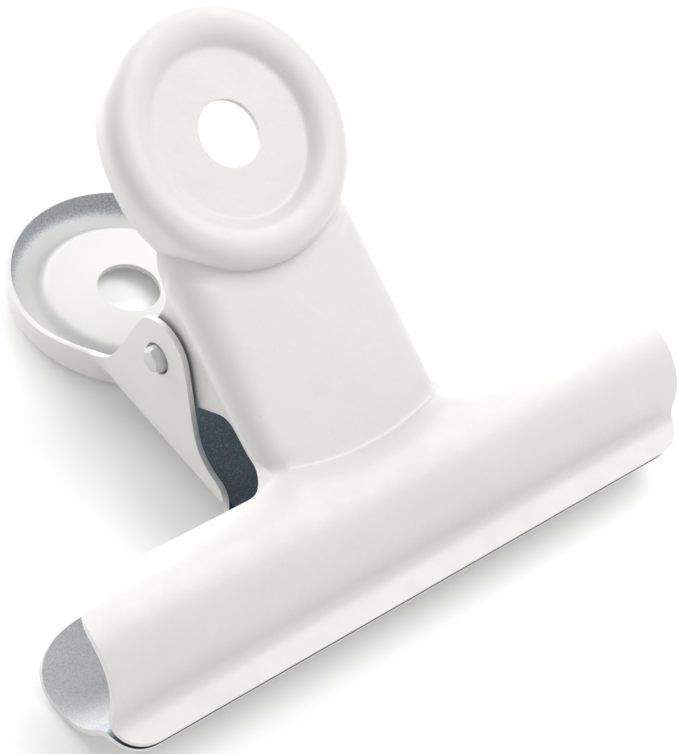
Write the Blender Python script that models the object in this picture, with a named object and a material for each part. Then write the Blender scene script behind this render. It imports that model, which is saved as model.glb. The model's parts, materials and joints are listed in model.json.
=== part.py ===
"""Sprung hinge clip (bulldog pattern) with two round thumb discs.

Two jaws, each stamped from one sheet of steel, nest ear in ear on a cross pin.
A torsion spring on the pin spreads the handles and so holds the lips shut.

The clip is drawn standing on its lips: X runs along the lips, Z from the lips
up to the handles, and Y from the front jaw to the rear jaw.  The empty
"clip_frame" then lays it on its rear jaw, as it lies on a desk.
"""
import math

import bmesh
import bpy
from mathutils import Vector

MM = 0.001

# ---- sheet ---------------------------------------------------------------
SHEET = 0.8 * MM                 # steel thickness of both jaws
FIT_GAP = 0.3 * MM               # clearance between pieces that touch

# ---- lip and barrel (the clamping half of a jaw) ---------------------------
JAW_WIDTH = 76.0 * MM            # along the lips
LIP_HEIGHT = 2.75 * MM           # flat of the lip, below its root fillet
LIP_FILLET = 0.9 * MM            # outer radius where lip turns into barrel
LIP_CORNER = 3.5 * MM            # rounded lower corners of the lip
BARREL_RADIUS = 6.8 * MM         # outside of the hollow barrel
BARREL_SETBACK = 0.65 * MM       # barrel centre outward of the meeting plane
BARREL_TOP_ANGLE = 47.8          # degrees above horizontal where the barrel ends
WING_CORNER = 5.9 * MM           # rounded upper corners of the barrel wings

# ---- handle (neck, folded ears and thumb disc) ------------------------------
PIVOT_HEIGHT = 33.7 * MM         # hinge axis above the lips' lower edge
HANDLE_TILT = 16.4               # degrees a handle leans away from upright
NECK_FOOT_ANGLE = 41.779         # degrees above horizontal where the neck lands on the barrel
NECK_HALF_WIDTH = 11.5 * MM      # middle to the ear's outer face
FOLD_RADIUS = 2.8 * MM           # outer radius of the fold from neck to ear
EAR_HEAD_RADIUS = 4.5 * MM       # rounded ear end round the hinge axis
EAR_TOP_REACH = 4.05 * MM        # hinge axis to the ear's straight upper edge
EAR_TOP_ANGLE = 71.6             # degrees, upper edge against the handle
EAR_NOTCH_ANGLE = 63.8           # degrees, lower edge against the handle
EAR_ROOT_RADIUS = 6.0 * MM       # concave radii at both ends of the ear
EAR_SET_REACH = 3.2 * MM         # depth over which the inner ears step inward
FLANGE_DEPTH = 3.3 * MM          # folded edge left between ear and barrel
FLANGE_EASE_RUN = 0.3            # share of the flange's run out at its easing point
FLANGE_EASE_RISE = 0.5           # share of its depth reached there

# ---- thumb disc -------------------------------------------------------------
DISC_RISE = 17.1 * MM            # hinge axis to disc centre, along the handle
DISC_RADIUS = 13.7 * MM
DISC_STEP = 1.1 * MM             # disc floor outward of the neck's outer face
DISC_HOLE_RADIUS = 3.5 * MM
FLOOR_RADIUS = 8.5 * MM          # flat floor inside the raised bead
BEAD_HEIGHT = 1.25 * MM
BEAD_CREST_RADIUS = 11.3 * MM    # where the bead's inner slope reaches its crest
SHOULDER_RADIUS = 1.7 * MM       # roll from the bead's crest into the rim wall
RIM_DEPTH = 2.2 * MM             # rim wall below the disc floor
RIM_DEPTH_AT_EAR = 3.3 * MM      # rim wall where it runs into the ears
RIM_EASE_ANGLE = 40.0            # degrees round the disc over which it grows shallower

# ---- pin and spring ---------------------------------------------------------
PIN_RADIUS = 1.45 * MM
PIN_PROUD = 0.9 * MM             # pin end beyond the outer ears
PIN_END_PRESS = 0.12 * MM        # how far the six flats are pressed into its ends
WIRE_RADIUS = 0.6 * MM
COIL_CLEARANCE = 1.05 * MM       # pin to the inside of the coil
COIL_END_CLEARANCE = 2.0 * MM    # inner ears to the ends of the coil, at least
TURN_GAP = 0.3 * MM              # between neighbouring turns
LEG_REACH = 7.5 * MM             # how far up the handle the legs bear
LEG_FOOT = 2.0 * MM              # end of a leg lying along the neck

# ---- fineness of the faceted solids -----------------------------------------
DISC_SEGMENTS = 48
BARREL_SEGMENTS = 12
FOLD_SEGMENTS = 4
EDGE_SEGMENTS = 5
LIP_SEGMENTS = 4
FILLET_SEGMENTS = 3
BEAD_SEGMENTS = 4
SHOULDER_SEGMENTS = 4
PIN_SIDES = 24
WIRE_STEPS_PER_TURN = 16
WIRE_ROUNDNESS = 1
BARREL_SHARES = (-1.0, -0.5, 0.0, 0.5, 1.0)   # columns of points across the barrel
NECK_SHARES = (0.0, 0.5, 0.8)                 # and out from the middle of the neck
EAR_SHARES = (0.09, 0.18, 0.27, 0.6, 1.0)     # and down an ear
LEAST_STEP = 0.2 * MM                         # rows of points stay this far apart
LEAST_EAR = 0.1 * MM                          # an ear's depth beyond its fold, at least
SMOOTH_ANGLE = 35.0                           # degrees; sharper edges stay sharp

FRONT, REAR = -1, 1              # sign of Y on each jaw's own side


def clear_scene():
    for item in list(bpy.data.objects):
        bpy.data.objects.remove(item, do_unlink=True)


def arc(centre, radius, start, end, segments):
    """Points on an arc, angles in degrees, both ends included."""
    points = []
    for step in range(segments + 1):
        angle = math.radians(start + (end - start) * step / segments)
        points.append((centre[0] + radius * math.cos(angle),
                       centre[1] + radius * math.sin(angle)))
    return points


def offset_path(path, distance):
    """Path moved sideways to its left by distance, with mitred corners."""
    moved = []
    last = len(path) - 1
    for index, point in enumerate(path):
        before = Vector(path[max(index - 1, 0)])
        here = Vector(point)
        after = Vector(path[min(index + 1, last)])
        into = (here - before).normalized() if index > 0 else (after - here).normalized()
        out = (after - here).normalized() if index < last else into
        left_in = Vector((-into.y, into.x))
        left_out = Vector((-out.y, out.x))
        mitre = (left_in + left_out).normalized()
        reach = distance / max(mitre.dot(left_in), 0.5)
        moved.append((here.x + mitre.x * reach, here.y + mitre.y * reach))
    return moved


def mesh_object(name, vertices, faces):
    """New object whose closed mesh has its faces turned outward."""
    mesh = bpy.data.meshes.new(name)
    mesh.from_pydata(vertices, [], faces)
    shape = bmesh.new()
    shape.from_mesh(mesh)
    bmesh.ops.recalc_face_normals(shape, faces=shape.faces)
    shape.to_mesh(mesh)
    shape.free()
    item = bpy.data.objects.new(name, mesh)
    bpy.context.collection.objects.link(item)
    return item


def sheet_from_grids(name, outer, inner):
    """Closed sheet between two grids of points with the same rows and columns."""
    rows, columns = len(outer), len(outer[0])
    vertices = [point for row in outer for point in row]
    vertices += [point for row in inner for point in row]
    shift = rows * columns
    faces = []
    for row in range(rows - 1):
        for column in range(columns - 1):
            corner = row * columns + column
            quad = [corner, corner + 1, corner + columns + 1, corner + columns]
            faces.append(quad)
            faces.append([index + shift for index in reversed(quad)])
    edge = [column for column in range(columns)]
    edge += [row * columns + columns - 1 for row in range(1, rows)]
    edge += [(rows - 1) * columns + column for column in range(columns - 2, -1, -1)]
    edge += [row * columns for row in range(rows - 2, 0, -1)]
    for here, there in zip(edge, edge[1:] + edge[:1]):
        faces.append([there, here, here + shift, there + shift])
    return mesh_object(name, vertices, faces)


# ---- lip and barrel ---------------------------------------------------------
def barrel_centre():
    """(out, up) of the barrel's centre, standing on the lip's root fillet."""
    fillet_out = FIT_GAP / 2 + SHEET + LIP_FILLET
    reach = BARREL_RADIUS + LIP_FILLET
    rise = math.sqrt(reach ** 2 - (fillet_out - BARREL_SETBACK) ** 2)
    return BARREL_SETBACK, LIP_HEIGHT + rise


def handle_offset():
    """Hinge axis to the neck's outer face, so that the neck lands on the barrel."""
    tilt = math.radians(HANDLE_TILT)
    turn = math.radians(NECK_FOOT_ANGLE)
    centre = barrel_centre()
    out = centre[0] + BARREL_RADIUS * math.cos(turn)
    drop = PIVOT_HEIGHT - centre[1] - BARREL_RADIUS * math.sin(turn)
    return out * math.cos(tilt) + drop * math.sin(tilt)


def barrel_path():
    """Outer face of lip and barrel as (out, up) points, from the lip's edge upward."""
    face = FIT_GAP / 2 + SHEET
    centre = barrel_centre()
    fillet_centre = (face + LIP_FILLET, LIP_HEIGHT)
    toward = math.degrees(math.atan2(fillet_centre[1] - centre[1],
                                     fillet_centre[0] - centre[0]))
    path = [(face, LIP_HEIGHT * step / LIP_SEGMENTS) for step in range(LIP_SEGMENTS)]
    path += arc(fillet_centre, LIP_FILLET, 180, 180 + toward, FILLET_SEGMENTS)
    path += arc(centre, BARREL_RADIUS, toward, BARREL_TOP_ANGLE, BARREL_SEGMENTS)[1:]
    return path


def path_lengths(path):
    lengths = [0.0]
    for here, there in zip(path, path[1:]):
        lengths.append(lengths[-1] + math.dist(here, there))
    return lengths


def point_at(path, lengths, distance):
    for index in range(len(path) - 1):
        if distance <= lengths[index + 1] or index == len(path) - 2:
            span = lengths[index + 1] - lengths[index]
            share = (distance - lengths[index]) / span
            here, there = path[index], path[index + 1]
            return tuple(a + (b - a) * share for a, b in zip(here, there))
    return path[-1]


def half_width_at(distance, total):
    """Half of the jaw's width at a distance round the sheet from the lip's edge."""
    half = JAW_WIDTH / 2
    low = LIP_CORNER - distance
    high = distance - (total - WING_CORNER)
    if low > 0:
        return half - LIP_CORNER + math.sqrt(max(LIP_CORNER ** 2 - low ** 2, 0))
    if high > 0:
        return half - WING_CORNER + math.sqrt(max(WING_CORNER ** 2 - high ** 2, 0))
    return half


def make_barrel(name, side):
    """Lip and barrel: one sheet bent round X, with all four corners rounded."""
    face = barrel_path()
    back = offset_path(face, SHEET)
    lengths = path_lengths(face)
    total = lengths[-1]
    low = [LIP_CORNER * (1 - math.cos(math.pi / 2 * step / EDGE_SEGMENTS))
           for step in range(EDGE_SEGMENTS)]
    high = [total - WING_CORNER * (1 - math.sin(math.pi / 2 * step / EDGE_SEGMENTS))
            for step in range(EDGE_SEGMENTS + 1)]
    middle = [value for value in lengths
              if low[-1] + LEAST_STEP < value < high[0] - LEAST_STEP]
    stations = low + middle + high
    grids = []
    for path in (face, back):
        grid = []
        for distance in stations:
            out, up = point_at(path, lengths, distance)
            half = half_width_at(distance, total)
            grid.append([(half * share, side * out, up) for share in BARREL_SHARES])
        grids.append(grid)
    return sheet_from_grids(name, grids[0], grids[1])


# ---- handle -----------------------------------------------------------------
def handle_point(side, across, along, depth):
    """Point on a handle: along it from the hinge axis, and depth in from the neck's face."""
    tilt = math.radians(HANDLE_TILT)
    out = handle_offset() - depth
    y = out * math.cos(tilt) + along * math.sin(tilt)
    z = PIVOT_HEIGHT - out * math.sin(tilt) + along * math.cos(tilt)
    return (across, side * y, z)


def neck_foot():
    """Distance along the handle at which the neck's sheet meets the barrel's sheet."""
    tilt = math.radians(HANDLE_TILT)
    out = handle_offset() - SHEET / 2
    centre = barrel_centre()
    base_y = out * math.cos(tilt) - centre[0]
    base_z = PIVOT_HEIGHT - out * math.sin(tilt) - centre[1]
    half_b = base_y * math.sin(tilt) + base_z * math.cos(tilt)
    rest = base_y ** 2 + base_z ** 2 - (BARREL_RADIUS - SHEET / 2) ** 2
    return -half_b + math.sqrt(half_b ** 2 - rest)


def neck_top(across):
    """Distance along the handle at which the neck runs into the disc's rim."""
    rim = DISC_RADIUS - SHEET / 2
    return DISC_RISE - math.sqrt(max(rim ** 2 - across ** 2, 0))


def ear_outline():
    """Free edge of an ear from barrel to disc, as (along, depth) points."""
    rim = RIM_DEPTH_AT_EAR - DISC_STEP
    radius = EAR_ROOT_RADIUS
    foot = neck_foot()
    # lower edge: flange, concave notch, then a straight edge on to the ear's head
    lean = math.radians(EAR_NOTCH_ANGLE)
    slope = math.tan(lean)
    height = handle_offset() + EAR_HEAD_RADIUS / math.cos(lean)
    notch = (FLANGE_DEPTH + radius - height - radius / math.cos(lean)) / slope
    taper = FLANGE_DEPTH - SHEET
    edge = [(foot, SHEET),
            (foot + taper * FLANGE_EASE_RUN, SHEET + taper * FLANGE_EASE_RISE),
            (foot + taper, FLANGE_DEPTH)]
    edge += arc((notch, FLANGE_DEPTH + radius), radius, -90, EAR_NOTCH_ANGLE - 90,
                EDGE_SEGMENTS)
    # head of the ear, round the hinge axis, up to its corner with the upper edge
    upper = math.radians(EAR_TOP_ANGLE)
    corner = math.degrees(math.acos(EAR_TOP_REACH / EAR_HEAD_RADIUS))
    edge += arc((0.0, handle_offset()), EAR_HEAD_RADIUS, 90 + EAR_NOTCH_ANGLE,
                90 - EAR_TOP_ANGLE + corner, 2 * EDGE_SEGMENTS)
    # upper edge, then a concave root up to the disc's rim wall
    height = handle_offset() + EAR_TOP_REACH / math.cos(upper)
    root = (height - rim - radius + radius / math.cos(upper)) / math.tan(upper)
    edge += arc((root, rim + radius), radius, 270 - EAR_TOP_ANGLE, 270, EDGE_SEGMENTS)
    return edge


def ear_edge_rows():
    """The ear's free edge cut off at the disc, so that each row has one depth."""
    top = neck_top(NECK_HALF_WIDTH - SHEET / 2)
    rows = [point for point in ear_outline() if point[0] < top - LEAST_STEP]
    rows.append((top, RIM_DEPTH_AT_EAR - DISC_STEP))
    return rows


def section_columns(depth, set_in):
    """Half section of neck, fold and ear as (across, depth), from the middle outward."""
    flat = NECK_HALF_WIDTH - FOLD_RADIUS
    columns = [(flat * share, 0.0) for share in NECK_SHARES]
    columns += [(flat + FOLD_RADIUS * math.sin(math.pi / 2 * step / FOLD_SEGMENTS),
                 FOLD_RADIUS * (1 - math.cos(math.pi / 2 * step / FOLD_SEGMENTS)))
                for step in range(FOLD_SEGMENTS + 1)]
    for part in EAR_SHARES:
        level = FOLD_RADIUS + (depth - FOLD_RADIUS) * part
        share = min((level - FOLD_RADIUS) / EAR_SET_REACH, 1.0)
        lean = set_in * share * share * (3 - 2 * share)
        columns.append((NECK_HALF_WIDTH - lean, level))
    return columns


def make_channel(name, side, set_in):
    """Neck with both edges folded inward into ears."""
    edge = ear_edge_rows()
    foot = edge[0][0]
    ear_top = edge[-1][0]
    outer, inner = [], []
    for along, depth in edge:
        share = (along - foot) / (ear_top - foot)
        half = section_columns(max(depth, FOLD_RADIUS + LEAST_EAR), set_in)
        face = [(-x, level) for x, level in reversed(half)] + half[1:]
        back = offset_path(face, SHEET)
        face_row, back_row = [], []
        for (x, level), (back_x, back_level) in zip(face, back):
            top = neck_top(min(abs(x), NECK_HALF_WIDTH - SHEET / 2))
            place = foot + share * (top - foot)
            face_row.append(handle_point(side, x, place, level))
            back_row.append(handle_point(side, back_x, place, back_level))
        outer.append(face_row)
        inner.append(back_row)
    return sheet_from_grids(name, outer, inner)


def disc_face(rim_depth):
    """Outer face of the disc as (radius, height above its floor), hole to rim edge."""
    half = (FLOOR_RADIUS + BEAD_CREST_RADIUS) / 2
    span = (BEAD_CREST_RADIUS - FLOOR_RADIUS) / 2
    face = [(DISC_HOLE_RADIUS, 0.0)]
    for step in range(BEAD_SEGMENTS + 1):
        angle = math.pi * step / BEAD_SEGMENTS
        face.append((half - span * math.cos(angle),
                     BEAD_HEIGHT * (1 - math.cos(angle)) / 2))
    shoulder = (DISC_RADIUS - SHOULDER_RADIUS, BEAD_HEIGHT - SHOULDER_RADIUS)
    face += arc(shoulder, SHOULDER_RADIUS, 90, 0, SHOULDER_SEGMENTS)
    face.append((DISC_RADIUS, -rim_depth))
    return face


def rim_depth_at(angle):
    """Rim wall depth round the disc; angle in radians from the neck's direction."""
    ear = math.asin(min(NECK_HALF_WIDTH / DISC_RADIUS, 1.0))
    share = min(max((angle - ear) / math.radians(RIM_EASE_ANGLE), 0.0), 1.0)
    ease = share * share * (3 - 2 * share)
    return RIM_DEPTH_AT_EAR + (RIM_DEPTH - RIM_DEPTH_AT_EAR) * ease


def make_disc(name, side):
    """Thumb disc: hole, flat floor, raised bead and turned-in rim wall."""
    vertices, faces = [], []
    ring = 0
    for segment in range(DISC_SEGMENTS):
        turn = 2 * math.pi * segment / DISC_SEGMENTS
        from_neck = abs(turn if turn <= math.pi else 2 * math.pi - turn)
        face = disc_face(rim_depth_at(from_neck))
        back = offset_path(face, -SHEET)
        loop = face + back[::-1]
        ring = len(loop)
        for radius, height in loop:
            vertices.append(handle_point(side, radius * math.sin(turn),
                                         DISC_RISE - radius * math.cos(turn),
                                         -DISC_STEP - height))
    for segment in range(DISC_SEGMENTS):
        here = segment * ring
        there = (segment + 1) % DISC_SEGMENTS * ring
        for index in range(ring):
            after = (index + 1) % ring
            faces.append([here + index, here + after, there + after, there + index])
    return mesh_object(name, vertices, faces)


def make_pivot_cutter(name):
    """Round bar along the hinge axis that opens the ears' holes."""
    return make_bar(name, PIN_RADIUS + FIT_GAP, NECK_HALF_WIDTH + 2 * SHEET)


def hide_guide(item):
    item.hide_render = True
    item.display_type = "WIRE"


def combine(target, tool, operation):
    step = target.modifiers.new(operation.lower() + "_" + tool.name, "BOOLEAN")
    step.operation = operation
    step.solver = "EXACT"
    step.object = tool
    hide_guide(tool)


def make_jaw(name, side, set_in):
    """One stamping: handle channel, thumb disc and barrel joined, pivot holes cut."""
    jaw = make_channel(name, side, set_in)
    combine(jaw, make_barrel(name + "_barrel_guide", side), "UNION")
    combine(jaw, make_disc(name + "_disc_guide", side), "UNION")
    combine(jaw, make_pivot_cutter(name + "_pivot_guide"), "DIFFERENCE")
    return jaw


# ---- pin --------------------------------------------------------------------
def make_bar(name, radius, half_length):
    """Round bar along the hinge axis."""
    vertices, faces = [], []
    for x in (-half_length, half_length):
        for index in range(PIN_SIDES):
            angle = 2 * math.pi * index / PIN_SIDES
            vertices.append((x, radius * math.cos(angle),
                             PIVOT_HEIGHT + radius * math.sin(angle)))
    for index in range(PIN_SIDES):
        after = (index + 1) % PIN_SIDES
        faces.append([index, after, PIN_SIDES + after, PIN_SIDES + index])
    faces.append(list(range(PIN_SIDES)))
    faces.append([PIN_SIDES + index for index in range(PIN_SIDES)])
    return mesh_object(name, vertices, faces)


def make_pin(name):
    """Round pin whose staked ends are pressed six-sided."""
    pin = make_bar(name, PIN_RADIUS, NECK_HALF_WIDTH + PIN_PROUD)
    shape = bmesh.new()
    shape.from_mesh(pin.data)
    flat = PIN_RADIUS - PIN_END_PRESS
    for side in (-1, 1):
        for index in range(6):
            angle = math.radians(60 * index + 30)
            normal = Vector((0, math.cos(angle), math.sin(angle)))
            press_pin_flat(shape, side, normal, flat)
    shape.to_mesh(pin.data)
    shape.free()
    return pin


def press_pin_flat(shape, side, normal, flat):
    """Press one flat onto the end ring of the pin."""
    axis = Vector((0, 0, PIVOT_HEIGHT))
    for vertex in shape.verts:
        if vertex.co.x * side < NECK_HALF_WIDTH:
            continue
        over = (vertex.co - axis).dot(normal) - flat
        if over > 0:
            vertex.co -= normal * over


# ---- spring -----------------------------------------------------------------
def coil_radius():
    """Radius of the wire's centre line round the pin."""
    return PIN_RADIUS + COIL_CLEARANCE + WIRE_RADIUS


def leg_points():
    """Centre line of one leg from the coil to its foot, as (out, along) points."""
    coil = coil_radius()
    out = handle_offset() - SHEET - FIT_GAP - WIRE_RADIUS
    reach = math.hypot(out, LEG_REACH)
    tangent = math.atan2(LEG_REACH, out) + math.acos(coil / reach)
    start = (coil * math.cos(tangent), coil * math.sin(tangent))
    return start, (out, LEG_REACH), (out, LEG_REACH + LEG_FOOT)


def coil_turns(share):
    """Turns that fit between the inner ears; share is the part turn between the legs."""
    inner_ear = NECK_HALF_WIDTH - (SHEET + FIT_GAP) - SHEET
    room = 2 * (inner_ear - COIL_END_CLEARANCE - WIRE_RADIUS)
    return math.floor(room / (2 * WIRE_RADIUS + TURN_GAP) + share) - share


def coil_angle(side, point):
    """Angle of a handle point round the hinge axis, from +Y towards +Z."""
    tilt = math.radians(HANDLE_TILT)
    y = point[0] * math.cos(tilt) + point[1] * math.sin(tilt)
    z = -point[0] * math.sin(tilt) + point[1] * math.cos(tilt)
    return math.atan2(z, side * y)


def make_spring(name):
    """Torsion spring: a close coil on the pin with one leg against each neck."""
    start, bend, foot = leg_points()
    first = coil_angle(FRONT, start)
    last = coil_angle(REAR, start)
    turns = coil_turns((last - first) % (2 * math.pi) / (2 * math.pi))
    length = (2 * WIRE_RADIUS + TURN_GAP) * turns
    steps = round(WIRE_STEPS_PER_TURN * turns)
    points = []
    for corner in (foot, bend):
        points.append(handle_point(FRONT, -length / 2, corner[1],
                                   handle_offset() - corner[0]))
    for step in range(steps + 1):
        angle = first - 2 * math.pi * turns * step / steps
        points.append((-length / 2 + length * step / steps,
                       coil_radius() * math.cos(angle),
                       PIVOT_HEIGHT + coil_radius() * math.sin(angle)))
    for corner in (bend, foot):
        points.append(handle_point(REAR, length / 2, corner[1],
                                   handle_offset() - corner[0]))
    curve = bpy.data.curves.new(name, "CURVE")
    curve.dimensions = "3D"
    curve.bevel_depth = WIRE_RADIUS
    curve.bevel_resolution = WIRE_ROUNDNESS
    curve.use_fill_caps = True
    spline = curve.splines.new("POLY")
    spline.points.add(len(points) - 1)
    for target, point in zip(spline.points, points):
        target.co = (*point, 1.0)
    item = bpy.data.objects.new(name, curve)
    bpy.context.collection.objects.link(item)
    return item


# ---- materials and assembly -------------------------------------------------
def paint(item, name, colour, roughness, metallic):
    material = bpy.data.materials.new(name)
    material.use_nodes = True
    shader = material.node_tree.nodes["Principled BSDF"]
    shader.inputs["Base Color"].default_value = (*colour, 1.0)
    shader.inputs["Roughness"].default_value = roughness
    shader.inputs["Metallic"].default_value = metallic
    item.data.materials.append(material)


def shade_round(item):
    if item.type == "MESH":
        item.data.shade_smooth()
        item.data.set_sharp_from_angle(angle=math.radians(SMOOTH_ANGLE))


def floor_tilt():
    """Angle of the floor to the Z axis when the clip lies on its rear jaw."""
    centre = barrel_centre()
    depth = -DISC_STEP - BEAD_HEIGHT + SHOULDER_RADIUS
    crest = handle_point(REAR, 0, DISC_RISE + DISC_RADIUS - SHOULDER_RADIUS, depth)
    across = crest[1] - centre[0]
    rise = crest[2] - centre[1]
    slack = math.asin((BARREL_RADIUS - SHOULDER_RADIUS) / math.hypot(across, rise))
    return math.atan2(across, rise) - slack


def world_box(items):
    """Lowest and highest corners of the evaluated pieces."""
    graph = bpy.context.evaluated_depsgraph_get()
    low = Vector((math.inf,) * 3)
    high = Vector((-math.inf,) * 3)
    for item in items:
        shown = item.evaluated_get(graph)
        mesh = shown.to_mesh()
        for vertex in mesh.vertices:
            place = item.matrix_world @ vertex.co
            low = Vector(map(min, low, place))
            high = Vector(map(max, high, place))
        shown.to_mesh_clear()
    return low, high


def set_down(pieces):
    """Lay the clip on its rear jaw, the middle of its footprint over the origin."""
    frame = bpy.data.objects.new("clip_frame", None)
    bpy.context.collection.objects.link(frame)
    for item in bpy.context.scene.objects:
        if item is not frame and item.parent is None:
            item.parent = frame
    frame.rotation_euler = (-(math.pi / 2 - floor_tilt()), 0, 0)
    bpy.context.view_layer.update()
    low, high = world_box(pieces)
    frame.location = (-(low.x + high.x) / 2, -(low.y + high.y) / 2, -low.z)
    bpy.context.view_layer.update()


def put_origin_on_hinge(item):
    """Move a piece's origin to the hinge axis without moving the piece."""
    shift = Vector((0, 0, PIVOT_HEIGHT))
    for vertex in item.data.vertices:
        vertex.co -= shift
    item.location = shift


def build():
    clear_scene()
    white = (0.80, 0.80, 0.79)
    steel = (0.50, 0.50, 0.52)
    rear = make_jaw("rear_jaw", REAR, 0.0)
    front = make_jaw("front_jaw", FRONT, SHEET + FIT_GAP)
    pin = make_pin("pivot_pin")
    spring = make_spring("torsion_spring")
    for item in (rear, front, pin):
        put_origin_on_hinge(item)
    paint(rear, "rear_white_coat", white, 0.38, 0.0)
    paint(front, "front_white_coat", white, 0.38, 0.0)
    paint(pin, "pin_white_coat", white, 0.45, 0.0)
    paint(spring, "spring_steel", steel, 0.35, 0.9)
    pieces = (rear, front, pin, spring)
    for item in pieces:
        shade_round(item)
    set_down(pieces)


build()
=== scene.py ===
"""White bulldog clip with two round thumb discs, lying on its rear jaw."""
import json
import math

import bmesh
import bpy
from mathutils import Matrix, Vector


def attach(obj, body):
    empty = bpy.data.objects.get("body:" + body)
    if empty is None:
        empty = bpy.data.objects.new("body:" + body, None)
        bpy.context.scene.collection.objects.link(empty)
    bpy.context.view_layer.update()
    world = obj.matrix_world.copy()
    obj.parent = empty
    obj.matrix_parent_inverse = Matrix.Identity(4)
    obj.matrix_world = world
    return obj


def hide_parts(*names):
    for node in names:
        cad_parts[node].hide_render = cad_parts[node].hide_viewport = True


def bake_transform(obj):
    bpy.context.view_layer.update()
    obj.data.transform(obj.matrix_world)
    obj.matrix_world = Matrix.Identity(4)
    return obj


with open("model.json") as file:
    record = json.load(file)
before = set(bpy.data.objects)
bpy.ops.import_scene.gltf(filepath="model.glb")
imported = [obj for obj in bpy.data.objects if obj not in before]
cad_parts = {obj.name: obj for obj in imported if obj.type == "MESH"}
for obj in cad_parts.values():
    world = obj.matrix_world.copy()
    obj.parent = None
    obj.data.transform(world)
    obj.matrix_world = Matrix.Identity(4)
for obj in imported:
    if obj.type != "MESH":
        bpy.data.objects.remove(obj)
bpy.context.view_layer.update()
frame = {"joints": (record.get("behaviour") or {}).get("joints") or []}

MM = 0.001

# ---- the two jaws -------------------------------------------------------------
# Each jaw is one stamping of 0.8 mm steel: a lip rolled into a hollow barrel, a
# neck whose edges fold inward into ears for the pin, and a round thumb disc.
# Both come off one tool; the front one's ears are stepped in to nest in the rear's.
SHEET = 0.8                   # lengths are in millimetres throughout the object
DRAWN_SHEET = 0.62            # what the press leaves of the sheet where it is drawn
EDGE_ROUND = 0.13
LIP_GAP = 0.3                 # between the two closed lips
JAW_HALF = 38.0
LIP_HEIGHT = 2.75
LIP_FILLET = 0.9
LIP_CORNER = 3.5
BARREL_RADIUS = 6.8
BARREL_SETBACK = 0.65
BARREL_TOP = 47.8             # degrees above horizontal at the barrel's free edge
WING_CORNER = 5.9
WING_STOPS = (15.4, 17.0, 20.5, 24.5, 28.5, 31.5, 33.6, 35.2, 36.4, 37.4, JAW_HALF)
WING_STRAIGHT = 20.5          # across the jaw, where its rounded end starts to draw in
PIVOT_HEIGHT = 33.7
HANDLE_OFFSET = 10.8
HANDLE_TILT = math.radians(16.4)
LYING_TURN = math.radians(74.566)   # from standing on the lips to lying on the rear jaw
NECK_HALF = 11.5
FOLD_AT_BARREL = 2.3
FOLD_AT_DISC = 3.2
EAR_HEAD = 4.5
EAR_TOP_REACH = 4.05
EAR_TOP_ANGLE = 71.6
EAR_NOTCH_ANGLE = 63.8
EAR_ROOT = 6.0
FLANGE = 3.3
EAR_STEP = 1.1                # how far the front jaw's ears stand inside the rear's
EAR_STEP_REACH = 3.2
FLARE_START = -12.4           # along the handle, where the flange starts to open out
FLARE_STEPS = (0.25, 0.5, 0.7, 0.86, 1.0)
FLARE_PULL = 4.2              # how strongly the flare keeps its direction at each end
FLARE_ON_BARREL = 5.0         # how far down the barrel the crease still shows
WING_ROOT = 14.5              # where the flange has become the barrel's free edge
CREASE_FOOT = -16.6           # along the handle, at the middle of the neck
CREASE_ARCH, CREASE_ARCH_HALF = 1.3, 10.5
CREASE_DIP, CREASE_DIP_RUN = 0.79, 4.0
CREASE_SINK, CREASE_SINK_START, CREASE_SINK_RUN = 0.62, 8.5, 6.0
BARREL_FALL = (-0.436, -0.9)  # the barrel's own slope at the crease: along, depth
DISC_RISE = 17.1
DISC_RADIUS = 13.7
DISC_STEP = 1.1
DISC_HOLE = 3.5
FLOOR_RADIUS = 8.5
BEAD_SLOPE = ((8.9, 0.03), (9.3, 0.42), (9.8, 0.87), (10.5, 1.17))
BEAD_HEIGHT = 1.25
BEAD_CREST = 11.4
SHOULDER = 1.7
SHOULDER_TURNS = (0.0, math.pi / 6, math.pi / 3, math.pi / 2)
RIM_DEPTH = 2.2
RIM_AT_EAR = 3.3
RIM_EASE = math.radians(40)   # round the rim from an ear, until its depth is even
RIM_PARTS = 26
PIN_BORE = 1.75

hinge = Vector(frame["joints"][0]["pos_m"])


def lay_down(x, y, z):
    """World place of a point given in mm from the hinge, with the clip standing up."""
    cosine, sine = math.cos(LYING_TURN), math.sin(LYING_TURN)
    return hinge + Vector((x, y * cosine + z * sine, z * cosine - y * sine)) * MM


def on_handle(side, x, along, depth):
    """Point of a handle: along it from the hinge, and depth in from the neck's face."""
    out = HANDLE_OFFSET - depth
    y = out * math.cos(HANDLE_TILT) + along * math.sin(HANDLE_TILT)
    z = along * math.cos(HANDLE_TILT) - out * math.sin(HANDLE_TILT)
    return lay_down(x, side * y, z)


def smooth(share):
    share = min(max(share, 0.0), 1.0)
    return share * share * (3 - 2 * share)


def arc(centre, radius, start, end, steps):
    turns = [math.radians(start + (end - start) * step / steps) for step in range(steps + 1)]
    return [(centre[0] + radius * math.cos(t), centre[1] + radius * math.sin(t)) for t in turns]


def barrel_section():
    """Outer face of barrel and lip as (out, up), from the free edge down to the lip's edge."""
    face = LIP_GAP / 2 + SHEET
    drop = BARREL_RADIUS + LIP_FILLET
    rise = math.sqrt(drop ** 2 - (face + LIP_FILLET - BARREL_SETBACK) ** 2)
    centre = (BARREL_SETBACK, LIP_HEIGHT + rise)
    toward = math.degrees(math.atan2(-rise, face + LIP_FILLET - BARREL_SETBACK))
    path = arc(centre, BARREL_RADIUS, BARREL_TOP, toward, 60)
    path += arc((face + LIP_FILLET, LIP_HEIGHT), LIP_FILLET, 180 + toward, 180, 12)[1:]
    path += [(face, LIP_HEIGHT * (1 - step / 12)) for step in range(1, 13)]
    return path


def between(here, there, share):
    return tuple(a + (b - a) * share for a, b in zip(here, there))


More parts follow.
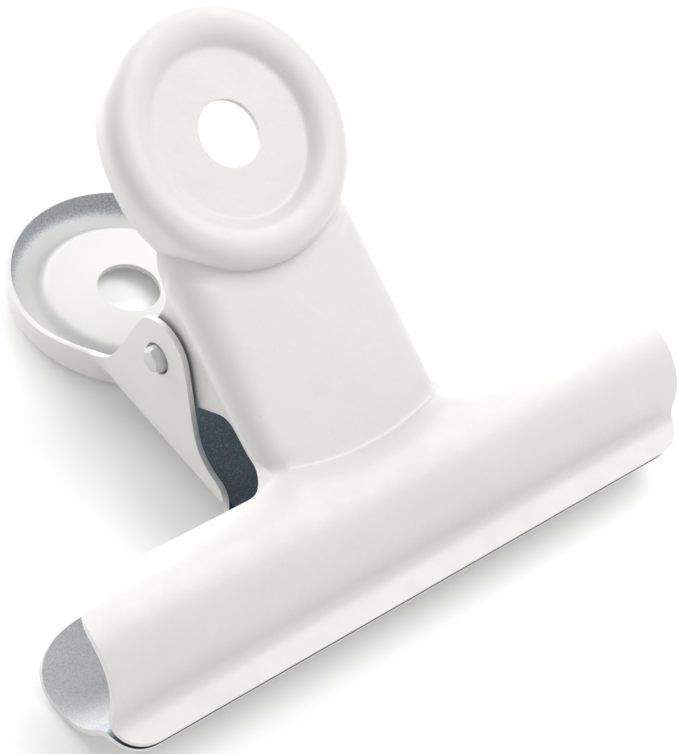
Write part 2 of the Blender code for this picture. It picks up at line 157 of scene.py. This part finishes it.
def walk(path, distance):
    """Point of a path at a distance from its start."""
    for here, there in zip(path, path[1:]):
        span = math.dist(here, there)
        if distance <= span + 1e-9:
            share = distance / span
            return between(here, there, share)
        distance -= span
    return path[-1]


def barrel_stops(total):
    """Distances round the sheet from free edge to lip, close where corners are round."""
    top = [WING_CORNER * (1 - math.cos(math.radians(turn)))
           for turn in (0, 20, 35, 49, 63, 77, 90)]
    low = [total - LIP_CORNER * (1 - math.cos(math.radians(turn)))
           for turn in range(90, -1, -18)]
    middle = 6
    step = (low[0] - top[-1]) / middle
    return top + [top[-1] + step * index for index in range(1, middle)] + low


def end_reach(distance, total):
    """Half of the jaw's width at a distance round the sheet from the free edge."""
    high = WING_CORNER - distance
    low = distance - (total - LIP_CORNER)
    if high > 0:
        return JAW_HALF - WING_CORNER + math.sqrt(max(WING_CORNER ** 2 - high ** 2, 0))
    if low > 0:
        return JAW_HALF - LIP_CORNER + math.sqrt(max(LIP_CORNER ** 2 - low ** 2, 0))
    return JAW_HALF


def ear_edge():
    """Free edge of an ear as (along, depth), from the disc down to the flange."""
    clear = 0.4               # closest that a rounded corner's point comes to its end
    rim = RIM_AT_EAR - DISC_STEP
    upper, notch = math.radians(EAR_TOP_ANGLE), math.radians(EAR_NOTCH_ANGLE)
    height = HANDLE_OFFSET + EAR_TOP_REACH / math.cos(upper)
    root = (height - rim - EAR_ROOT + EAR_ROOT / math.cos(upper)) / math.tan(upper)
    disc_end = DISC_RISE - math.sqrt(DISC_RADIUS ** 2 - NECK_HALF ** 2)
    high = arc((root, rim + EAR_ROOT), EAR_ROOT, 270, 270 - EAR_TOP_ANGLE, 5)
    edge = [(disc_end, rim), (disc_end - 0.35, rim + 0.25)]
    edge += [point for point in high if point[0] < disc_end - clear]
    corner = math.degrees(math.acos(EAR_TOP_REACH / EAR_HEAD))
    head = arc((0, HANDLE_OFFSET), EAR_HEAD,
               90 - EAR_TOP_ANGLE + corner, 90 + EAR_NOTCH_ANGLE, 8)
    foot = edge[-1]
    edge += [between(foot, head[0], share) for share in (0.3, 0.6, 0.9)]
    edge += head
    height = HANDLE_OFFSET + EAR_HEAD / math.cos(notch)
    turn = (FLANGE + EAR_ROOT - height - EAR_ROOT / math.cos(notch)) / math.tan(notch)
    low = arc((turn, FLANGE + EAR_ROOT), EAR_ROOT, EAR_NOTCH_ANGLE - 90, -90, 5)
    edge += [between(head[-1], low[0], 0.5)]
    edge += [point for point in low if point[0] > FLARE_START + clear]
    return edge + [(FLARE_START, FLANGE)]


FLAT_SHARES = (0.0, 0.3, 0.6, 0.85)     # where the cage's lines run on flat, fold and ear
FOLD_SHARES = (0.0, 0.25, 0.5, 0.75, 1.0)
EAR_SHARES = (0.08, 0.17, 0.27, 0.4, 0.6, 0.82, 1.0)


def half_section(fold, depth, step, evenly):
    """Middle to free edge of the channel as (across, depth) for one place along the neck."""
    start = NECK_HALF - fold
    quarter = fold * math.pi / 2
    if depth < fold:
        length = fold * math.acos(1 - depth / fold)
    else:
        length = quarter + depth - fold
    bend = min(quarter, 0.75 * length)
    stops = [start * share for share in FLAT_SHARES]
    stops += [start + bend * share for share in FOLD_SHARES]
    stops += [start + bend + (length - bend) * share for share in EAR_SHARES]
    section = []
    for index, stop in enumerate(stops):
        even = (start + length) * index / (len(stops) - 1)
        past = stop + (even - stop) * evenly - start
        turn = min(max(past, 0.0), quarter) / fold
        level = fold * (1 - math.cos(turn)) + max(past - quarter, 0.0)
        lean = step * smooth((level - fold) / EAR_STEP_REACH)
        section.append((start + min(past, 0.0) + fold * math.sin(turn) - lean, level))
    return section


def crease_at(x):
    """(along, depth) of the line where neck and flange meet the barrel."""
    arch = CREASE_ARCH * smooth(x / CREASE_ARCH_HALF) ** 2
    dip = CREASE_DIP * smooth((x - CREASE_ARCH_HALF) / CREASE_DIP_RUN)
    sink = CREASE_SINK * smooth((x - CREASE_SINK_START) / CREASE_SINK_RUN)
    return CREASE_FOOT + arch - dip, sink


def hermite(start, leave, end, arrive, t):
    """Point of the curve between two places that leaves and arrives as told."""
    a = 2 * t ** 3 - 3 * t ** 2 + 1
    b = t ** 3 - 2 * t ** 2 + t
    c = 3 * t ** 2 - 2 * t ** 3
    d = t ** 3 - t ** 2
    return [a * p + b * q + c * r + d * s for p, q, r, s in zip(start, leave, end, arrive)]


def neck_rows(step):
    """Half rows (across, along, depth) of neck and ear, from the disc to the crease."""
    edge = ear_edge()
    top, foot = edge[0][0], edge[-1][0]
    rows = []
    for along, depth in edge:
        share = (along - foot) / (top - foot)
        fold = FOLD_AT_BARREL + (FOLD_AT_DISC - FOLD_AT_BARREL) * share
        row = []
        for x, level in half_section(fold, depth, step, smooth((share - 0.8) / 0.2)):
            reach = DISC_RISE - math.sqrt(DISC_RADIUS ** 2 - min(x, NECK_HALF) ** 2)
            row.append((x, foot + share * (reach - foot), level))
        rows.append(row)
    last = rows[-1]
    fold_start = len(FLAT_SHARES)
    count = len(last) - 1
    for t in FLARE_STEPS:
        row = []
        for index, start in enumerate(last):
            open_out = max(index - fold_start, 0) / (count - fold_start)
            x = start[0]
            if index > fold_start:
                x = last[fold_start][0] + (WING_ROOT - last[fold_start][0]) * open_out
            end = (x, *crease_at(x))
            leave = (0.0, -FLARE_PULL, -FLARE_PULL * open_out)
            flare = smooth(open_out)
            soft = smooth((index - fold_start + 1) / 4.0)
            on_barrel = FLARE_PULL * (1 - flare) * soft
            arrive = (FLARE_PULL * flare,
                      -FLARE_PULL * (1 - soft) + BARREL_FALL[0] * on_barrel,
                      BARREL_FALL[1] * on_barrel)
            row.append(tuple(hermite(start, leave, end, arrive, t)))
        rows.append(row)
    return rows


def disc_rings(outer):
    """Rings of (x, along, depth) from the disc's hole out to its foot or free edge."""
    section = [(DISC_HOLE, 0.0), (DISC_HOLE + 0.5, 0.0), (6.4, 0.0), (FLOOR_RADIUS, 0.0)]
    section += [*BEAD_SLOPE, (BEAD_CREST, BEAD_HEIGHT)]
    section += [(DISC_RADIUS - SHOULDER + SHOULDER * math.sin(turn),
                 BEAD_HEIGHT - SHOULDER + SHOULDER * math.cos(turn)) for turn in SHOULDER_TURNS]
    rings = []
    for radius, height in section:
        rings.append([(radius * math.sin(turn), DISC_RISE - radius * math.cos(turn),
                       -DISC_STEP - height) for turn, depth in outer])
    wall = -DISC_STEP - BEAD_HEIGHT + SHOULDER
    for share in (0.5, 0.82, 1.0):
        rings.append([(DISC_RADIUS * math.sin(turn), DISC_RISE - DISC_RADIUS * math.cos(turn),
                       wall + (depth - wall) * share) for turn, depth in outer])
    return rings


def rim_free_edge(start, count):
    """(turn, depth) round the disc's free rim, from one ear to the other."""
    made = []
    for index in range(1, count):
        turn = start + (2 * math.pi - 2 * start) * index / count
        from_ear = min(turn, 2 * math.pi - turn) - start
        depth = RIM_AT_EAR + (RIM_DEPTH - RIM_AT_EAR) * smooth(from_ear / RIM_EASE)
        made.append((turn, depth - DISC_STEP))
    return made


def quilt(shape, rows, closed=False):
    """Faces between rows of points."""
    laid = [[shape.verts.new(point) for point in row] for row in rows]
    for here, there in zip(laid, laid[1:]):
        pairs = list(zip(here, here[1:], there[1:], there))
        if closed:
            pairs.append((here[-1], here[0], there[0], there[-1]))
        for corners in pairs:
            shape.faces.new(corners)


def mirrored(half):
    """A half row and its mirror image, as one row from end to end."""
    return [(-p[0], *p[1:]) for p in reversed(half[1:])] + list(half)


def jaw_cage(side, step):
    """Coarse outer face of a jaw, welded from disc, channel and barrel."""
    shape = bmesh.new()
    rows = neck_rows(step)
    ring = [(math.asin(min(x / DISC_RADIUS, 1.0)), depth) for x, along, depth in rows[0]]
    outer = [(-turn, depth) for turn, depth in reversed(ring[1:])] + ring
    outer += rim_free_edge(ring[-1][0], RIM_PARTS)
    quilt(shape, [[on_handle(side, *p) for p in loop] for loop in disc_rings(outer)], True)
    quilt(shape, [[on_handle(side, *p) for p in mirrored(row)] for row in rows])

    path = barrel_section()
    total = sum(math.dist(a, b) for a, b in zip(path, path[1:]))
    crease = rows[-1]
    barrel = []
    for stop in barrel_stops(total):
        out, up = walk(path, stop)
        fade = 1 - smooth(stop / FLARE_ON_BARREL)
        row = []
        for x, along, depth in crease:
            face = HANDLE_OFFSET - depth
            y = face * math.cos(HANDLE_TILT) + along * math.sin(HANDLE_TILT)
            z = along * math.cos(HANDLE_TILT) - face * math.sin(HANDLE_TILT) + PIVOT_HEIGHT
            row.append((x, out + (y - path[0][0]) * fade, up + (z - path[0][1]) * fade))
        reach = end_reach(stop, total)
        for x in WING_STOPS:
            share = max(x - WING_STRAIGHT, 0.0) / (JAW_HALF - WING_STRAIGHT)
            row.append((x - (JAW_HALF - reach) * share, out, up))
        barrel.append([lay_down(x, side * y, z - PIVOT_HEIGHT) for x, y, z in mirrored(row)])
    quilt(shape, barrel)

    bmesh.ops.remove_doubles(shape, verts=shape.verts, dist=0.02 * MM)
    bmesh.ops.recalc_face_normals(shape, faces=shape.faces)
    shape.faces.ensure_lookup_table()
    outward = on_handle(side, 0, 0, -1) - on_handle(side, 0, 0, 0)
    if shape.faces[0].normal.dot(outward) < 0:
        bmesh.ops.reverse_faces(shape, faces=shape.faces)
    return shape


def plain_object(name, shape):
    mesh = bpy.data.meshes.new(name)
    shape.to_mesh(mesh)
    shape.free()
    item = bpy.data.objects.new(name, mesh)
    bpy.context.scene.collection.objects.link(item)
    return item


def settle(item):
    """The piece as its modifiers make it, as a plain mesh."""
    graph = bpy.context.evaluated_depsgraph_get()
    made = bpy.data.meshes.new_from_object(item.evaluated_get(graph), depsgraph=graph)
    item.modifiers.clear()
    item.data = made
    return item


def new_material(name):
    material = bpy.data.materials.new(name)
    material.use_nodes = True
    tree = material.node_tree
    return material, tree, tree.nodes["Principled BSDF"]


def noise(tree, scale, detail=2.0, rough=0.5):
    """Noise over the piece's own coordinates; scale in features per metre."""
    place = tree.nodes.new("ShaderNodeTexCoord")
    made = tree.nodes.new("ShaderNodeTexNoise")
    made.inputs["Scale"].default_value = scale
    made.inputs["Detail"].default_value = detail
    made.inputs["Roughness"].default_value = rough
    tree.links.new(place.outputs["Object"], made.inputs["Vector"])
    return made.outputs["Fac"]


def spread(tree, value, low, high, to_low, to_high):
    """Value brought from one range into another, clamped and eased."""
    made = tree.nodes.new("ShaderNodeMapRange")
    made.interpolation_type = "SMOOTHSTEP"
    ends = {"From Min": low, "From Max": high, "To Min": to_low, "To Max": to_high}
    for name, amount in ends.items():
        made.inputs[name].default_value = amount
    tree.links.new(value, made.inputs["Value"])
    return made.outputs["Result"]


def blend_colour(tree, share, one, other):
    made = tree.nodes.new("ShaderNodeMix")
    made.data_type = "RGBA"
    for socket, colour in ((made.inputs[6], one), (made.inputs[7], other)):
        if isinstance(colour, tuple):
            socket.default_value = (*colour, 1.0)
        else:
            tree.links.new(colour, socket)
    tree.links.new(share, made.inputs[0])
    return made.outputs[2]


def figure(tree, operation, one, other):
    made = tree.nodes.new("ShaderNodeMath")
    made.operation = operation
    for socket, value in zip(made.inputs, (one, other)):
        if isinstance(value, float):
            socket.default_value = value
        else:
            tree.links.new(value, socket)
    return made.outputs[0]


def bump(tree, height, distance, under=None):
    made = tree.nodes.new("ShaderNodeBump")
    made.inputs["Distance"].default_value = distance
    tree.links.new(height, made.inputs["Height"])
    if under is not None:
        tree.links.new(under, made.inputs["Normal"])
    return made.outputs["Normal"]


def attribute(tree, name):
    made = tree.nodes.new("ShaderNodeAttribute")
    made.attribute_name = name
    return made.outputs["Fac"]


def powder_coat(name, white, shade, gloss):
    """Satin powder coat: faint orange peel, soft mottling, a few dull specks."""
    material, tree, shader = new_material(name)
    drift = spread(tree, noise(tree, 90.0, 3.0), 0.3, 0.7, 0.0, 1.0)
    colour = blend_colour(tree, drift, white, shade)
    speck = spread(tree, noise(tree, 2600.0, 1.0), 0.785, 0.82, 0.0, 0.35)
    colour = blend_colour(tree, speck, colour, (0.45, 0.45, 0.46))
    tree.links.new(colour, shader.inputs["Base Color"])
    rough = spread(tree, noise(tree, 420.0, 4.0, 0.6), 0.3, 0.7, gloss, gloss + 0.12)
    tree.links.new(rough, shader.inputs["Roughness"])
    wave = bump(tree, noise(tree, 160.0, 1.0), 0.05 * MM)
    peel = bump(tree, noise(tree, 1100.0, 2.0), 0.022 * MM, wave)
    grain = bump(tree, noise(tree, 5200.0, 2.0), 0.004 * MM, peel)
    tree.links.new(grain, shader.inputs["Normal"])
    shader.inputs["IOR"].default_value = 1.5
    return material


def dusted_steel(name):
    """Bare inner face: blue-grey steel, with powder wherever the spray could reach, and the
    steel painted darker where little powder reached, as painted shade in the channel and in the
    gap between the lips.
    """
    material, tree, shader = new_material(name)
    reach_and_shade = attribute(tree, "powder")
    grain = noise(tree, 5200.0, 3.0, 0.75)
    fleck = spread(tree, grain, 0.32, 0.68, 0.25, 0.75)
    cover = figure(tree, "ADD", figure(tree, "MULTIPLY", reach_and_shade, 1.25), fleck)
    white = spread(tree, cover, 0.5, 1.62, 0.0, 1.0)
    # painted shade: the bare steel goes from nearly black where the reach is low, in the
    # channel and between the lips, to light blue-grey where it is high
    steel = blend_colour(tree, reach_and_shade, (0.05, 0.083, 0.108), (0.60, 0.67, 0.72))
    drift = noise(tree, 140.0, 3.0)
    coat = blend_colour(tree, drift, (0.71, 0.705, 0.695), (0.75, 0.742, 0.73))
    tree.links.new(blend_colour(tree, white, steel, coat), shader.inputs["Base Color"])
    tree.links.new(spread(tree, white, 0.0, 0.8, 0.45, 0.0), shader.inputs["Metallic"])
    tree.links.new(spread(tree, white, 0.0, 1.0, 0.56, 0.5), shader.inputs["Roughness"])
    tree.links.new(bump(tree, grain, 0.012 * MM), shader.inputs["Normal"])
    return material


COAT_WHITE = (0.765, 0.755, 0.745)
COAT_SHADE = (0.74, 0.732, 0.725)
jaw_white = powder_coat("jaw_powder_coat", COAT_WHITE, COAT_SHADE, 0.30)
inner_steel = dusted_steel("jaw_inner_steel")

# What share of the inner face the powder covers, and over how many millimetres it fades. The
# same share also sets the painted shade of the bare steel: low in the channel and nothing at
# the lips, so those are painted dark.
RIM_LOSS, RIM_LOSS_START, RIM_LOSS_RUN = 0.6, 10.8, 2.6
CHANNEL_LEAST, CHANNEL_GAIN, CHANNEL_START, CHANNEL_RUN = 0.04, 0.6, 1.0, 5.0
CHANNEL_FOOT = -15.0
LIP_EDGE, LIP_RUN = 1.5, 3.0
BARREL_LEAST, BARREL_GAIN, BARREL_RUN = 0.1, 0.5, 16.0


def powder_and_shade_reach(side, place):
    """How much powder the inner face caught: all of it in the disc, little in the channel, none
    at the lips. The same share paints the bare steel darker, as painted shade in the channel
    and between the lips.
    """
    x, y, z = (place - hinge) / MM
    out = side * (y * math.cos(LYING_TURN) - z * math.sin(LYING_TURN))
    up = y * math.sin(LYING_TURN) + z * math.cos(LYING_TURN)
    along = out * math.sin(HANDLE_TILT) + up * math.cos(HANDLE_TILT)
    from_disc = math.hypot(x, along - DISC_RISE)
    if from_disc < DISC_RADIUS + 0.1:
        return 1.0 - RIM_LOSS * smooth((from_disc - RIM_LOSS_START) / RIM_LOSS_RUN)
    if along > CHANNEL_FOOT:
        return CHANNEL_LEAST + CHANNEL_GAIN * smooth((along - CHANNEL_START) / CHANNEL_RUN)
    # painted shade: the share falls to nothing at the lip edge, so the bare steel between the
    # lips is painted nearly black
    off_lip = smooth((up + PIVOT_HEIGHT - LIP_EDGE) / LIP_RUN)
    return off_lip * (BARREL_LEAST + BARREL_GAIN * smooth((abs(x) - BARREL_RUN) / BARREL_RUN))


def make_jaw(name, side, step):
    """One stamping from its coarse cage: smoothed, thickened, bored and edge-rounded."""
    jaw = plain_object(name, jaw_cage(side, step))
    # the powder share per point also sets the painted shade of the inner steel in the channel
    # and between the lips
    powder = jaw.data.attributes.new("powder", "FLOAT", "POINT")
    for vertex in jaw.data.vertices:
        powder.data[vertex.index].value = powder_and_shade_reach(side, vertex.co)
    smoothed = jaw.modifiers.new("smoothed", "SUBSURF")
    smoothed.levels = smoothed.render_levels = 2
    sheet = jaw.modifiers.new("sheet", "SOLIDIFY")
    sheet.thickness = DRAWN_SHEET * MM
    sheet.offset = -1.0
    sheet.use_even_offset = True
    sheet.material_offset = 1
    for material in (jaw_white, inner_steel):
        jaw.data.materials.append(material)
    turned = Matrix.Rotation(math.pi / 2, 4, "Y")
    shape = bmesh.new()
    bmesh.ops.create_cone(shape, cap_ends=True, segments=48, radius1=PIN_BORE * MM,
                          radius2=PIN_BORE * MM, depth=3 * NECK_HALF * MM,
                          matrix=Matrix.Translation(hinge) @ turned)
    drill = plain_object("drill", shape)
    bore = jaw.modifiers.new("bore", "BOOLEAN")
    bore.operation = "DIFFERENCE"
    bore.solver = "EXACT"
    bore.object = drill
    soft = jaw.modifiers.new("soft_edges", "BEVEL")
    soft.width = EDGE_ROUND * MM
    soft.segments = 2
    soft.limit_method = "ANGLE"
    soft.angle_limit = math.radians(62)
    settle(jaw)
    bpy.data.objects.remove(drill)
    jaw.data.shade_smooth()
    jaw.data.set_sharp_from_angle(angle=math.radians(50))
    return jaw


rear_jaw = make_jaw("rear_jaw_stamping", 1, 0.0)
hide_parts("rear_jaw")
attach(rear_jaw, "rear_body")

front_jaw = make_jaw("front_jaw_stamping", -1, EAR_STEP)
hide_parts("front_jaw")
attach(front_jaw, "front_body")

# ---- the cross pin --------------------------------------------------------------
# A plain steel pin through the four ears. Its two ends stand proud of the outer
# ears and are pressed six-sided so that it can't slide out; it's coated with the clip.
PIN_RADIUS = 1.45
PIN_FLATS = 2.55              # across the flats of an end
PIN_PROUD = 0.9
PIN_CHAMFER = 0.35
PIN_SIDES = 72
PIN_WHITE = (0.70, 0.695, 0.69)
PIN_SHADE = (0.58, 0.585, 0.59)


def pin_radius(turn, squeeze):
    """Radius of the pin at an angle, squeezed from round (0) to six-sided (1)."""
    off = (turn + math.pi / 6) % (math.pi / 3) - math.pi / 6
    flat = PIN_FLATS / 2 / math.cos(off)
    return PIN_RADIUS + (min(flat, PIN_RADIUS) - PIN_RADIUS) * squeeze


def make_pin(name):
    """The pin lofted through stations of (across, squeeze, cut off the radius)."""
    end = NECK_HALF + PIN_PROUD
    half = [(0.0, 0.0, 0.0), (NECK_HALF, 0.0, 0.0), (NECK_HALF + 0.3, 0.25, 0.0),
            (end - PIN_CHAMFER - 0.06, 0.9, 0.02), (end - PIN_CHAMFER, 1.0, 0.05),
            (end - 0.05, 1.0, 0.27), (end, 1.0, 0.34)]
    stations = [(-x, squeeze, cut) for x, squeeze, cut in reversed(half[1:])] + half
    rows = []
    for x, squeeze, cut in stations:
        row = []
        for index in range(PIN_SIDES):
            turn = 2 * math.pi * index / PIN_SIDES
            radius = pin_radius(turn, squeeze) - cut
            row.append(lay_down(x, radius * math.cos(turn), radius * math.sin(turn)))
        rows.append(row)
    shape = bmesh.new()
    quilt(shape, rows, True)
    shape.verts.ensure_lookup_table()
    shape.faces.new(shape.verts[:PIN_SIDES])
    shape.faces.new(shape.verts[-PIN_SIDES:])
    bmesh.ops.recalc_face_normals(shape, faces=shape.faces)
    pin = plain_object(name, shape)
    pin.data.shade_smooth()
    pin.data.set_sharp_from_angle(angle=math.radians(22))
    pin.data.materials.append(powder_coat("pin_powder_coat", PIN_WHITE, PIN_SHADE, 0.34))
    return pin


pin = make_pin("cross_pin")
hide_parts("pivot_pin")
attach(pin, "rear_body")

# ---- the torsion spring ---------------------------------------------------------
# Close-wound spring-steel wire round the pin. One leg bears up each neck's inner
# face, so the coil's two ends turn with the two jaws and the lips are held shut.
WIRE_RADIUS = 0.6
COIL_CLEARANCE = 1.05         # pin to the inside of the coil
COIL_RADIUS = PIN_RADIUS + COIL_CLEARANCE + WIRE_RADIUS
COIL_TURNS = 9.0
COIL_PITCH = 1.5
COIL_STEPS = 32               # points to a turn of the coil
LEG_REACH = 7.5               # up the neck, from the hinge to the leg's knee
LEG_FOOT = 2.0                # the straight end past the knee, flat on the neck
KNEE_RADIUS = 1.6
WIRE_SIDES = 20


def wire_path():
    """Centre line of the wire from the front leg's foot through the coil to the rear's."""
    out = HANDLE_OFFSET - SHEET - LIP_GAP - WIRE_RADIUS
    tangent = math.atan2(LEG_REACH, out) + math.acos(COIL_RADIUS / math.hypot(out, LEG_REACH))
    leaves = (COIL_RADIUS * math.cos(tangent), COIL_RADIUS * math.sin(tangent))

    def standing(side, out_along):
        y = out_along[0] * math.cos(HANDLE_TILT) + out_along[1] * math.sin(HANDLE_TILT)
        z = out_along[1] * math.cos(HANDLE_TILT) - out_along[0] * math.sin(HANDLE_TILT)
        return side * y, z

    first = math.atan2(*reversed(standing(-1, leaves)))
    last = math.atan2(*reversed(standing(1, leaves)))
    sweep = 2 * math.pi * COIL_TURNS - (last - first) % (2 * math.pi)
    length = COIL_PITCH * sweep / (2 * math.pi)
    knee, toe = (out, LEG_REACH), (out, LEG_REACH + LEG_FOOT)
    points = [(-length / 2, *standing(-1, toe)), (-length / 2, *standing(-1, knee))]
    steps = round(COIL_STEPS * sweep / (2 * math.pi))
    for step in range(steps + 1):
        turn = first - sweep * step / steps
        points.append((-length / 2 + length * step / steps,
                       COIL_RADIUS * math.cos(turn), COIL_RADIUS * math.sin(turn)))
    points += [(length / 2, *standing(1, knee)), (length / 2, *standing(1, toe))]
    return [lay_down(*point) for point in points], length


def wire_tree(material):
    """Geometry nodes that round the path's knees and sweep the wire along it."""
    tree = bpy.data.node_groups.new("drawn_wire", "GeometryNodeTree")
    face = tree.interface
    face.new_socket("Path", in_out="INPUT", socket_type="NodeSocketGeometry")
    face.new_socket("Wire radius", in_out="INPUT", socket_type="NodeSocketFloat")
    face.new_socket("Knee radius", in_out="INPUT", socket_type="NodeSocketFloat")
    face.new_socket("Sides", in_out="INPUT", socket_type="NodeSocketInt")
    face.new_socket("Wire", in_out="OUTPUT", socket_type="NodeSocketGeometry")
    add = tree.nodes.new
    source, result = add("NodeGroupInput"), add("NodeGroupOutput")
    knees = add("GeometryNodeFilletCurve")
    ring = add("GeometryNodeCurvePrimitiveCircle")
    sweep = add("GeometryNodeCurveToMesh")
    knees.mode = "POLY"
    knees.inputs["Count"].default_value = 5
    knees.inputs["Limit Radius"].default_value = True
    sweep.inputs["Fill Caps"].default_value = True
    round_off = add("GeometryNodeSetShadeSmooth")
    real = add("GeometryNodeRealizeInstances")
    coat = add("GeometryNodeSetMaterial")
    coat.inputs["Material"].default_value = material
    join = tree.links.new
    join(source.outputs["Path"], knees.inputs["Curve"])
    join(source.outputs["Knee radius"], knees.inputs["Radius"])
    join(source.outputs["Wire radius"], ring.inputs["Radius"])
    join(source.outputs["Sides"], ring.inputs["Resolution"])
    join(knees.outputs["Curve"], sweep.inputs["Curve"])
    join(ring.outputs["Curve"], sweep.inputs["Profile Curve"])
    join(sweep.outputs["Mesh"], round_off.inputs["Geometry"])
    join(round_off.outputs["Geometry"], real.inputs["Geometry"])
    join(real.outputs["Geometry"], coat.inputs["Geometry"])
    join(coat.outputs["Geometry"], result.inputs["Wire"])
    return tree


def spring_steel(name):
    """Drawn wire: blue-grey steel with a fine grain, oil-dark patches and dust of the coat."""
    material, tree, shader = new_material(name)
    patch = noise(tree, 260.0, 4.0, 0.6)
    colour = blend_colour(tree, patch, (0.27, 0.285, 0.31), (0.50, 0.515, 0.54))
    dust = spread(tree, noise(tree, 1900.0, 3.0, 0.7), 0.52, 0.66, 0.0, 0.7)
    colour = blend_colour(tree, dust, colour, (0.68, 0.68, 0.68))
    tree.links.new(colour, shader.inputs["Base Color"])
    tree.links.new(spread(tree, dust, 0.0, 0.7, 0.95, 0.1), shader.inputs["Metallic"])
    tree.links.new(spread(tree, patch, 0.3, 0.7, 0.26, 0.46), shader.inputs["Roughness"])
    tree.links.new(bump(tree, noise(tree, 3800.0, 2.0), 0.006 * MM), shader.inputs["Normal"])
    return material


def make_spring(name):
    """The spring as a plain mesh, and the length of its coil."""
    points, length = wire_path()
    curve = bpy.data.curves.new(name, "CURVE")
    curve.dimensions = "3D"
    spline = curve.splines.new("POLY")
    spline.points.add(len(points) - 1)
    for target, point in zip(spline.points, points):
        target.co = (*point, 1.0)
    path = bpy.data.objects.new("wire_path", curve)
    bpy.context.scene.collection.objects.link(path)
    tree = wire_tree(spring_steel("spring_wire_steel"))
    sweep = path.modifiers.new("wire", "NODES")
    sweep.node_group = tree
    sizes = {"Wire radius": WIRE_RADIUS * MM, "Knee radius": KNEE_RADIUS * MM,
             "Sides": WIRE_SIDES}
    for item in tree.interface.items_tree:
        if item.name in sizes:
            sweep[item.identifier] = sizes[item.name]
    path.update_tag()
    graph = bpy.context.evaluated_depsgraph_get()
    mesh = bpy.data.meshes.new_from_object(path.evaluated_get(graph), depsgraph=graph)
    bpy.data.objects.remove(path)
    spring = bpy.data.objects.new(name, mesh)
    bpy.context.scene.collection.objects.link(spring)
    return spring, length


spring, coil_length = make_spring("torsion_spring_wire")
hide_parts("torsion_spring")
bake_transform(spring)

# ---- floor, light and camera ----------------------------------------------------
# The clip lies on a plain white floor under a large softbox overhead, with a weaker
# one low behind it and white all round, so that only faces turned down or inward are
# in shade. Lengths from here on are in metres.
FLOOR_HALF = 3.0
FLOOR_WHITE = 0.93
FLOOR_GLOW = 0.09             # lifts the floor to paper white
ROOM_LIGHT = 0.58

shape = bmesh.new()
bmesh.ops.create_grid(shape, x_segments=1, y_segments=1, size=FLOOR_HALF)
floor = plain_object("floor", shape)
paper, _, shader = new_material("white_floor")
shader.inputs["Base Color"].default_value = (FLOOR_WHITE, FLOOR_WHITE, FLOOR_WHITE, 1.0)
shader.inputs["Roughness"].default_value = 0.9
shader.inputs["Specular IOR Level"].default_value = 0.0
shader.inputs["Emission Color"].default_value = (1.0, 1.0, 1.0, 1.0)
shader.inputs["Emission Strength"].default_value = FLOOR_GLOW
floor.data.materials.append(paper)

world = bpy.data.worlds.new("white_room")
bpy.context.scene.world = world
world.use_nodes = True
room = world.node_tree.nodes["Background"]
room.inputs["Color"].default_value = (1.0, 1.0, 1.0, 1.0)
room.inputs["Strength"].default_value = ROOM_LIGHT


def softbox(name, place, aim, size, power):
    light = bpy.data.lights.new(name, "AREA")
    light.shape = "RECTANGLE"
    light.size, light.size_y = size
    light.energy = power
    item = bpy.data.objects.new(name, light)
    bpy.context.scene.collection.objects.link(item)
    item.location = place
    item.rotation_euler = (Vector(aim) - Vector(place)).to_track_quat("-Z", "Y").to_euler()
    return item


overhead = softbox("overhead_softbox", place=(0.27, -0.02, 0.50), aim=(0, 0, 0.01),
                   size=(0.40, 0.40), power=1.92)
behind = softbox("back_softbox", place=(0.03, 0.38, 0.12), aim=(-0.02, -0.02, 0.01),
                 size=(0.36, 0.20), power=1.75)

eye = bpy.data.cameras.new("camera")
eye.lens = 121.74
eye.sensor_width = 36.0
eye.clip_start = 0.01
camera = bpy.data.objects.new("camera", eye)
bpy.context.scene.collection.objects.link(camera)
eye_place = Vector((-0.13985, -0.11566, 0.20212))
right = Vector((0.7457, -0.6309, 0.2142))
up = Vector((0.3716, 0.6607, 0.6522))
back = Vector((-0.5530, -0.4069, 0.7270))
turned = Matrix((right, up, back)).transposed().to_4x4()
camera.matrix_world = Matrix.Translation(eye_place) @ turned
bpy.context.scene.camera = camera
bpy.context.scene.view_settings.view_transform = "Standard"
